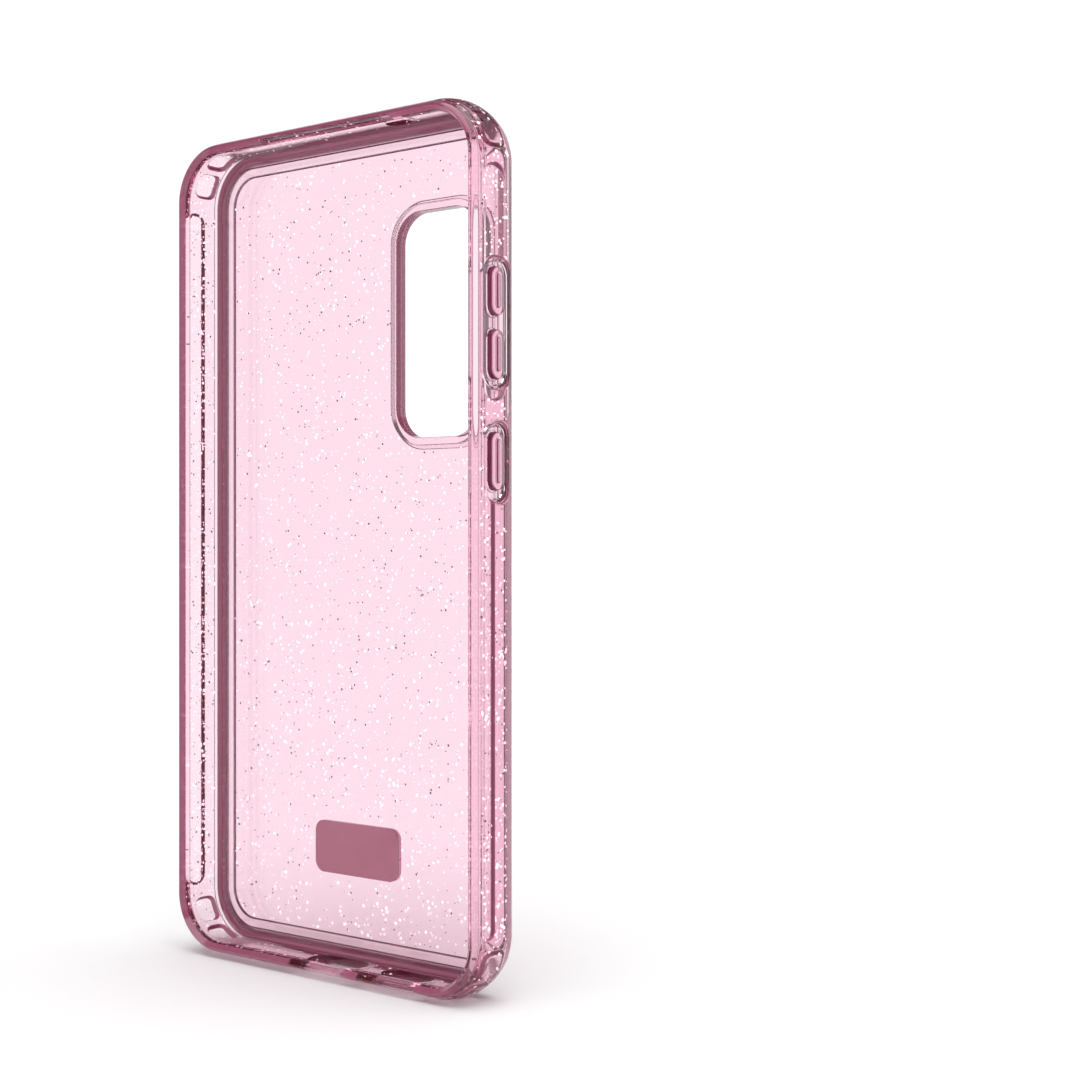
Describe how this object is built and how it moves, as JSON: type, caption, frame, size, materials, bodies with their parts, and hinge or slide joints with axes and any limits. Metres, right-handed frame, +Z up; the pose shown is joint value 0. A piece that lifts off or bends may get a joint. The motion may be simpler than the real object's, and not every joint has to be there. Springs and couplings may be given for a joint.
{
  "type": "phone case",
  "caption": "Translucent pink glitter bumper case for a phone, with side keys, camera guard, port openings and a clear back panel.",
  "frame": {"origin": "middle of the bottom of the bounding box, with the case upright on its bottom edge", "axes": "+Z up along the case's height, +X across its width towards the key side as seen from the screen side, +Y through its depth towards the back, so the screen side faces -Y"},
  "size_m": [0.081, 0.0136, 0.163],
  "materials": {
    "flexible_pink": "glossy clear pink flexible plastic with silver glitter moulded in",
    "hard_pink": "glossy clear pink hard plastic with silver glitter moulded in",
    "solid_pink": "opaque satin pink plastic"
  },
  "bodies": {
    "case": {"bumper_frame": "flexible_pink", "back_panel": "hard_pink", "camera_guard": "flexible_pink", "volume_button_web": "flexible_pink", "power_button_web": "flexible_pink", "badge": "solid_pink"},
    "volume_up": {"volume_up_button": "flexible_pink"},
    "volume_down": {"volume_down_button": "flexible_pink"},
    "power": {"power_button": "flexible_pink"}
  },
  "joints": [
    {"name": "volume_up_press", "type": "slide", "parent": "case", "child": "volume_up", "axis": [-1, 0, 0], "range_m": [0, 0.0004], "stiffness_N_per_m": 3000},
    {"name": "volume_down_press", "type": "slide", "parent": "case", "child": "volume_down", "axis": [-1, 0, 0], "range_m": [0, 0.0004], "stiffness_N_per_m": 3000},
    {"name": "power_press", "type": "slide", "parent": "case", "child": "power", "axis": [-1, 0, 0], "range_m": [0, 0.0004], "stiffness_N_per_m": 3000}
  ]
}
